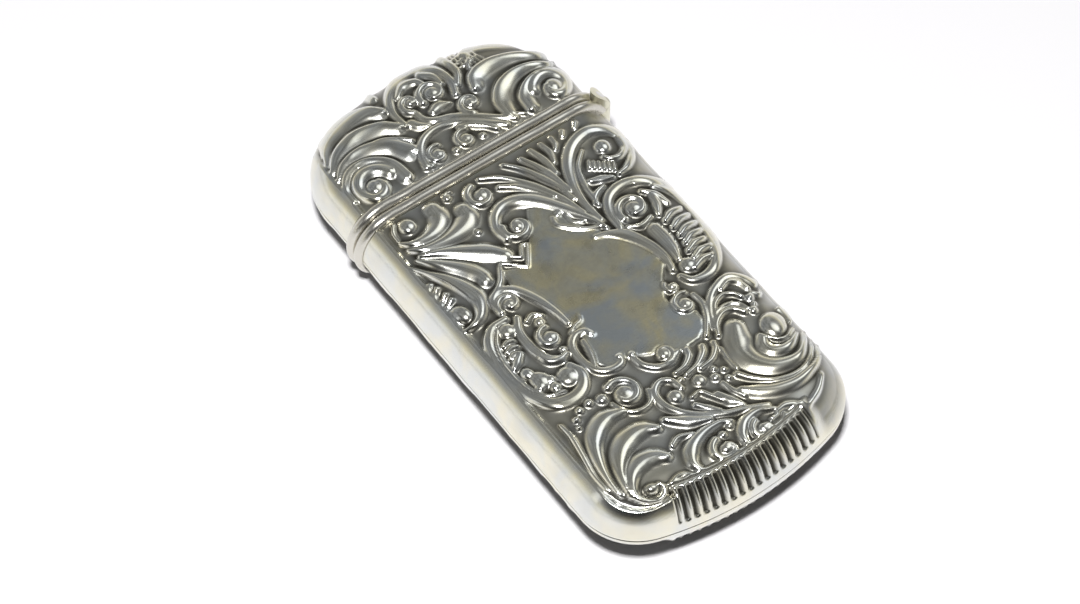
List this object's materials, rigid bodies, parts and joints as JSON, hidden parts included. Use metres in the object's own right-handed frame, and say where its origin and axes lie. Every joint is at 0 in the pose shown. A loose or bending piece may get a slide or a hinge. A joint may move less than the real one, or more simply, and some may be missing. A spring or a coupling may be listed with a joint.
{
  "type": "vesta case",
  "caption": "Flat silver pocket match safe with rounded sides, struck scrollwork, a plain cartouche, a ribbed striker end and a side-hinged lid held by a leaf spring.",
  "frame": {"origin": "middle of the length and of the smooth width, on the plane the back rests on", "axes": "+Y from the striker end to the lid, +X to the hinge side, +Z out of the front"},
  "size_m": [0.0362, 0.07, 0.0102],
  "materials": {
    "silver": "polished crests over oxidised recesses",
    "silver_rim": "polished, worn bright",
    "gilt": "gilt wash on silver",
    "pin_silver": "drawn wire",
    "rivet_silver": "peened wire",
    "spring_steel": "blued spring steel"
  },
  "bodies": {
    "case": {"body_front": "silver", "body_back": "silver", "body_rim": "silver_rim", "body_collar": "gilt", "body_knuckle_front": "silver_rim", "body_knuckle_back": "silver_rim", "hinge_pin": "pin_silver", "spring_pad": "gilt", "lid_spring": "spring_steel", "spring_rivets": "rivet_silver"},
    "lid": {"lid_front": "silver", "lid_back": "silver", "lid_rim": "silver_rim", "lid_knuckle": "silver_rim"}
  },
  "joints": [
    {"name": "lid_hinge", "type": "hinge", "parent": "case", "child": "lid", "pos_m": [0.0172, 0.0175, 0.0051], "axis": [0, 0, -1], "range_deg": [0, 90], "deforming": ["lid_spring"]}
  ]
}
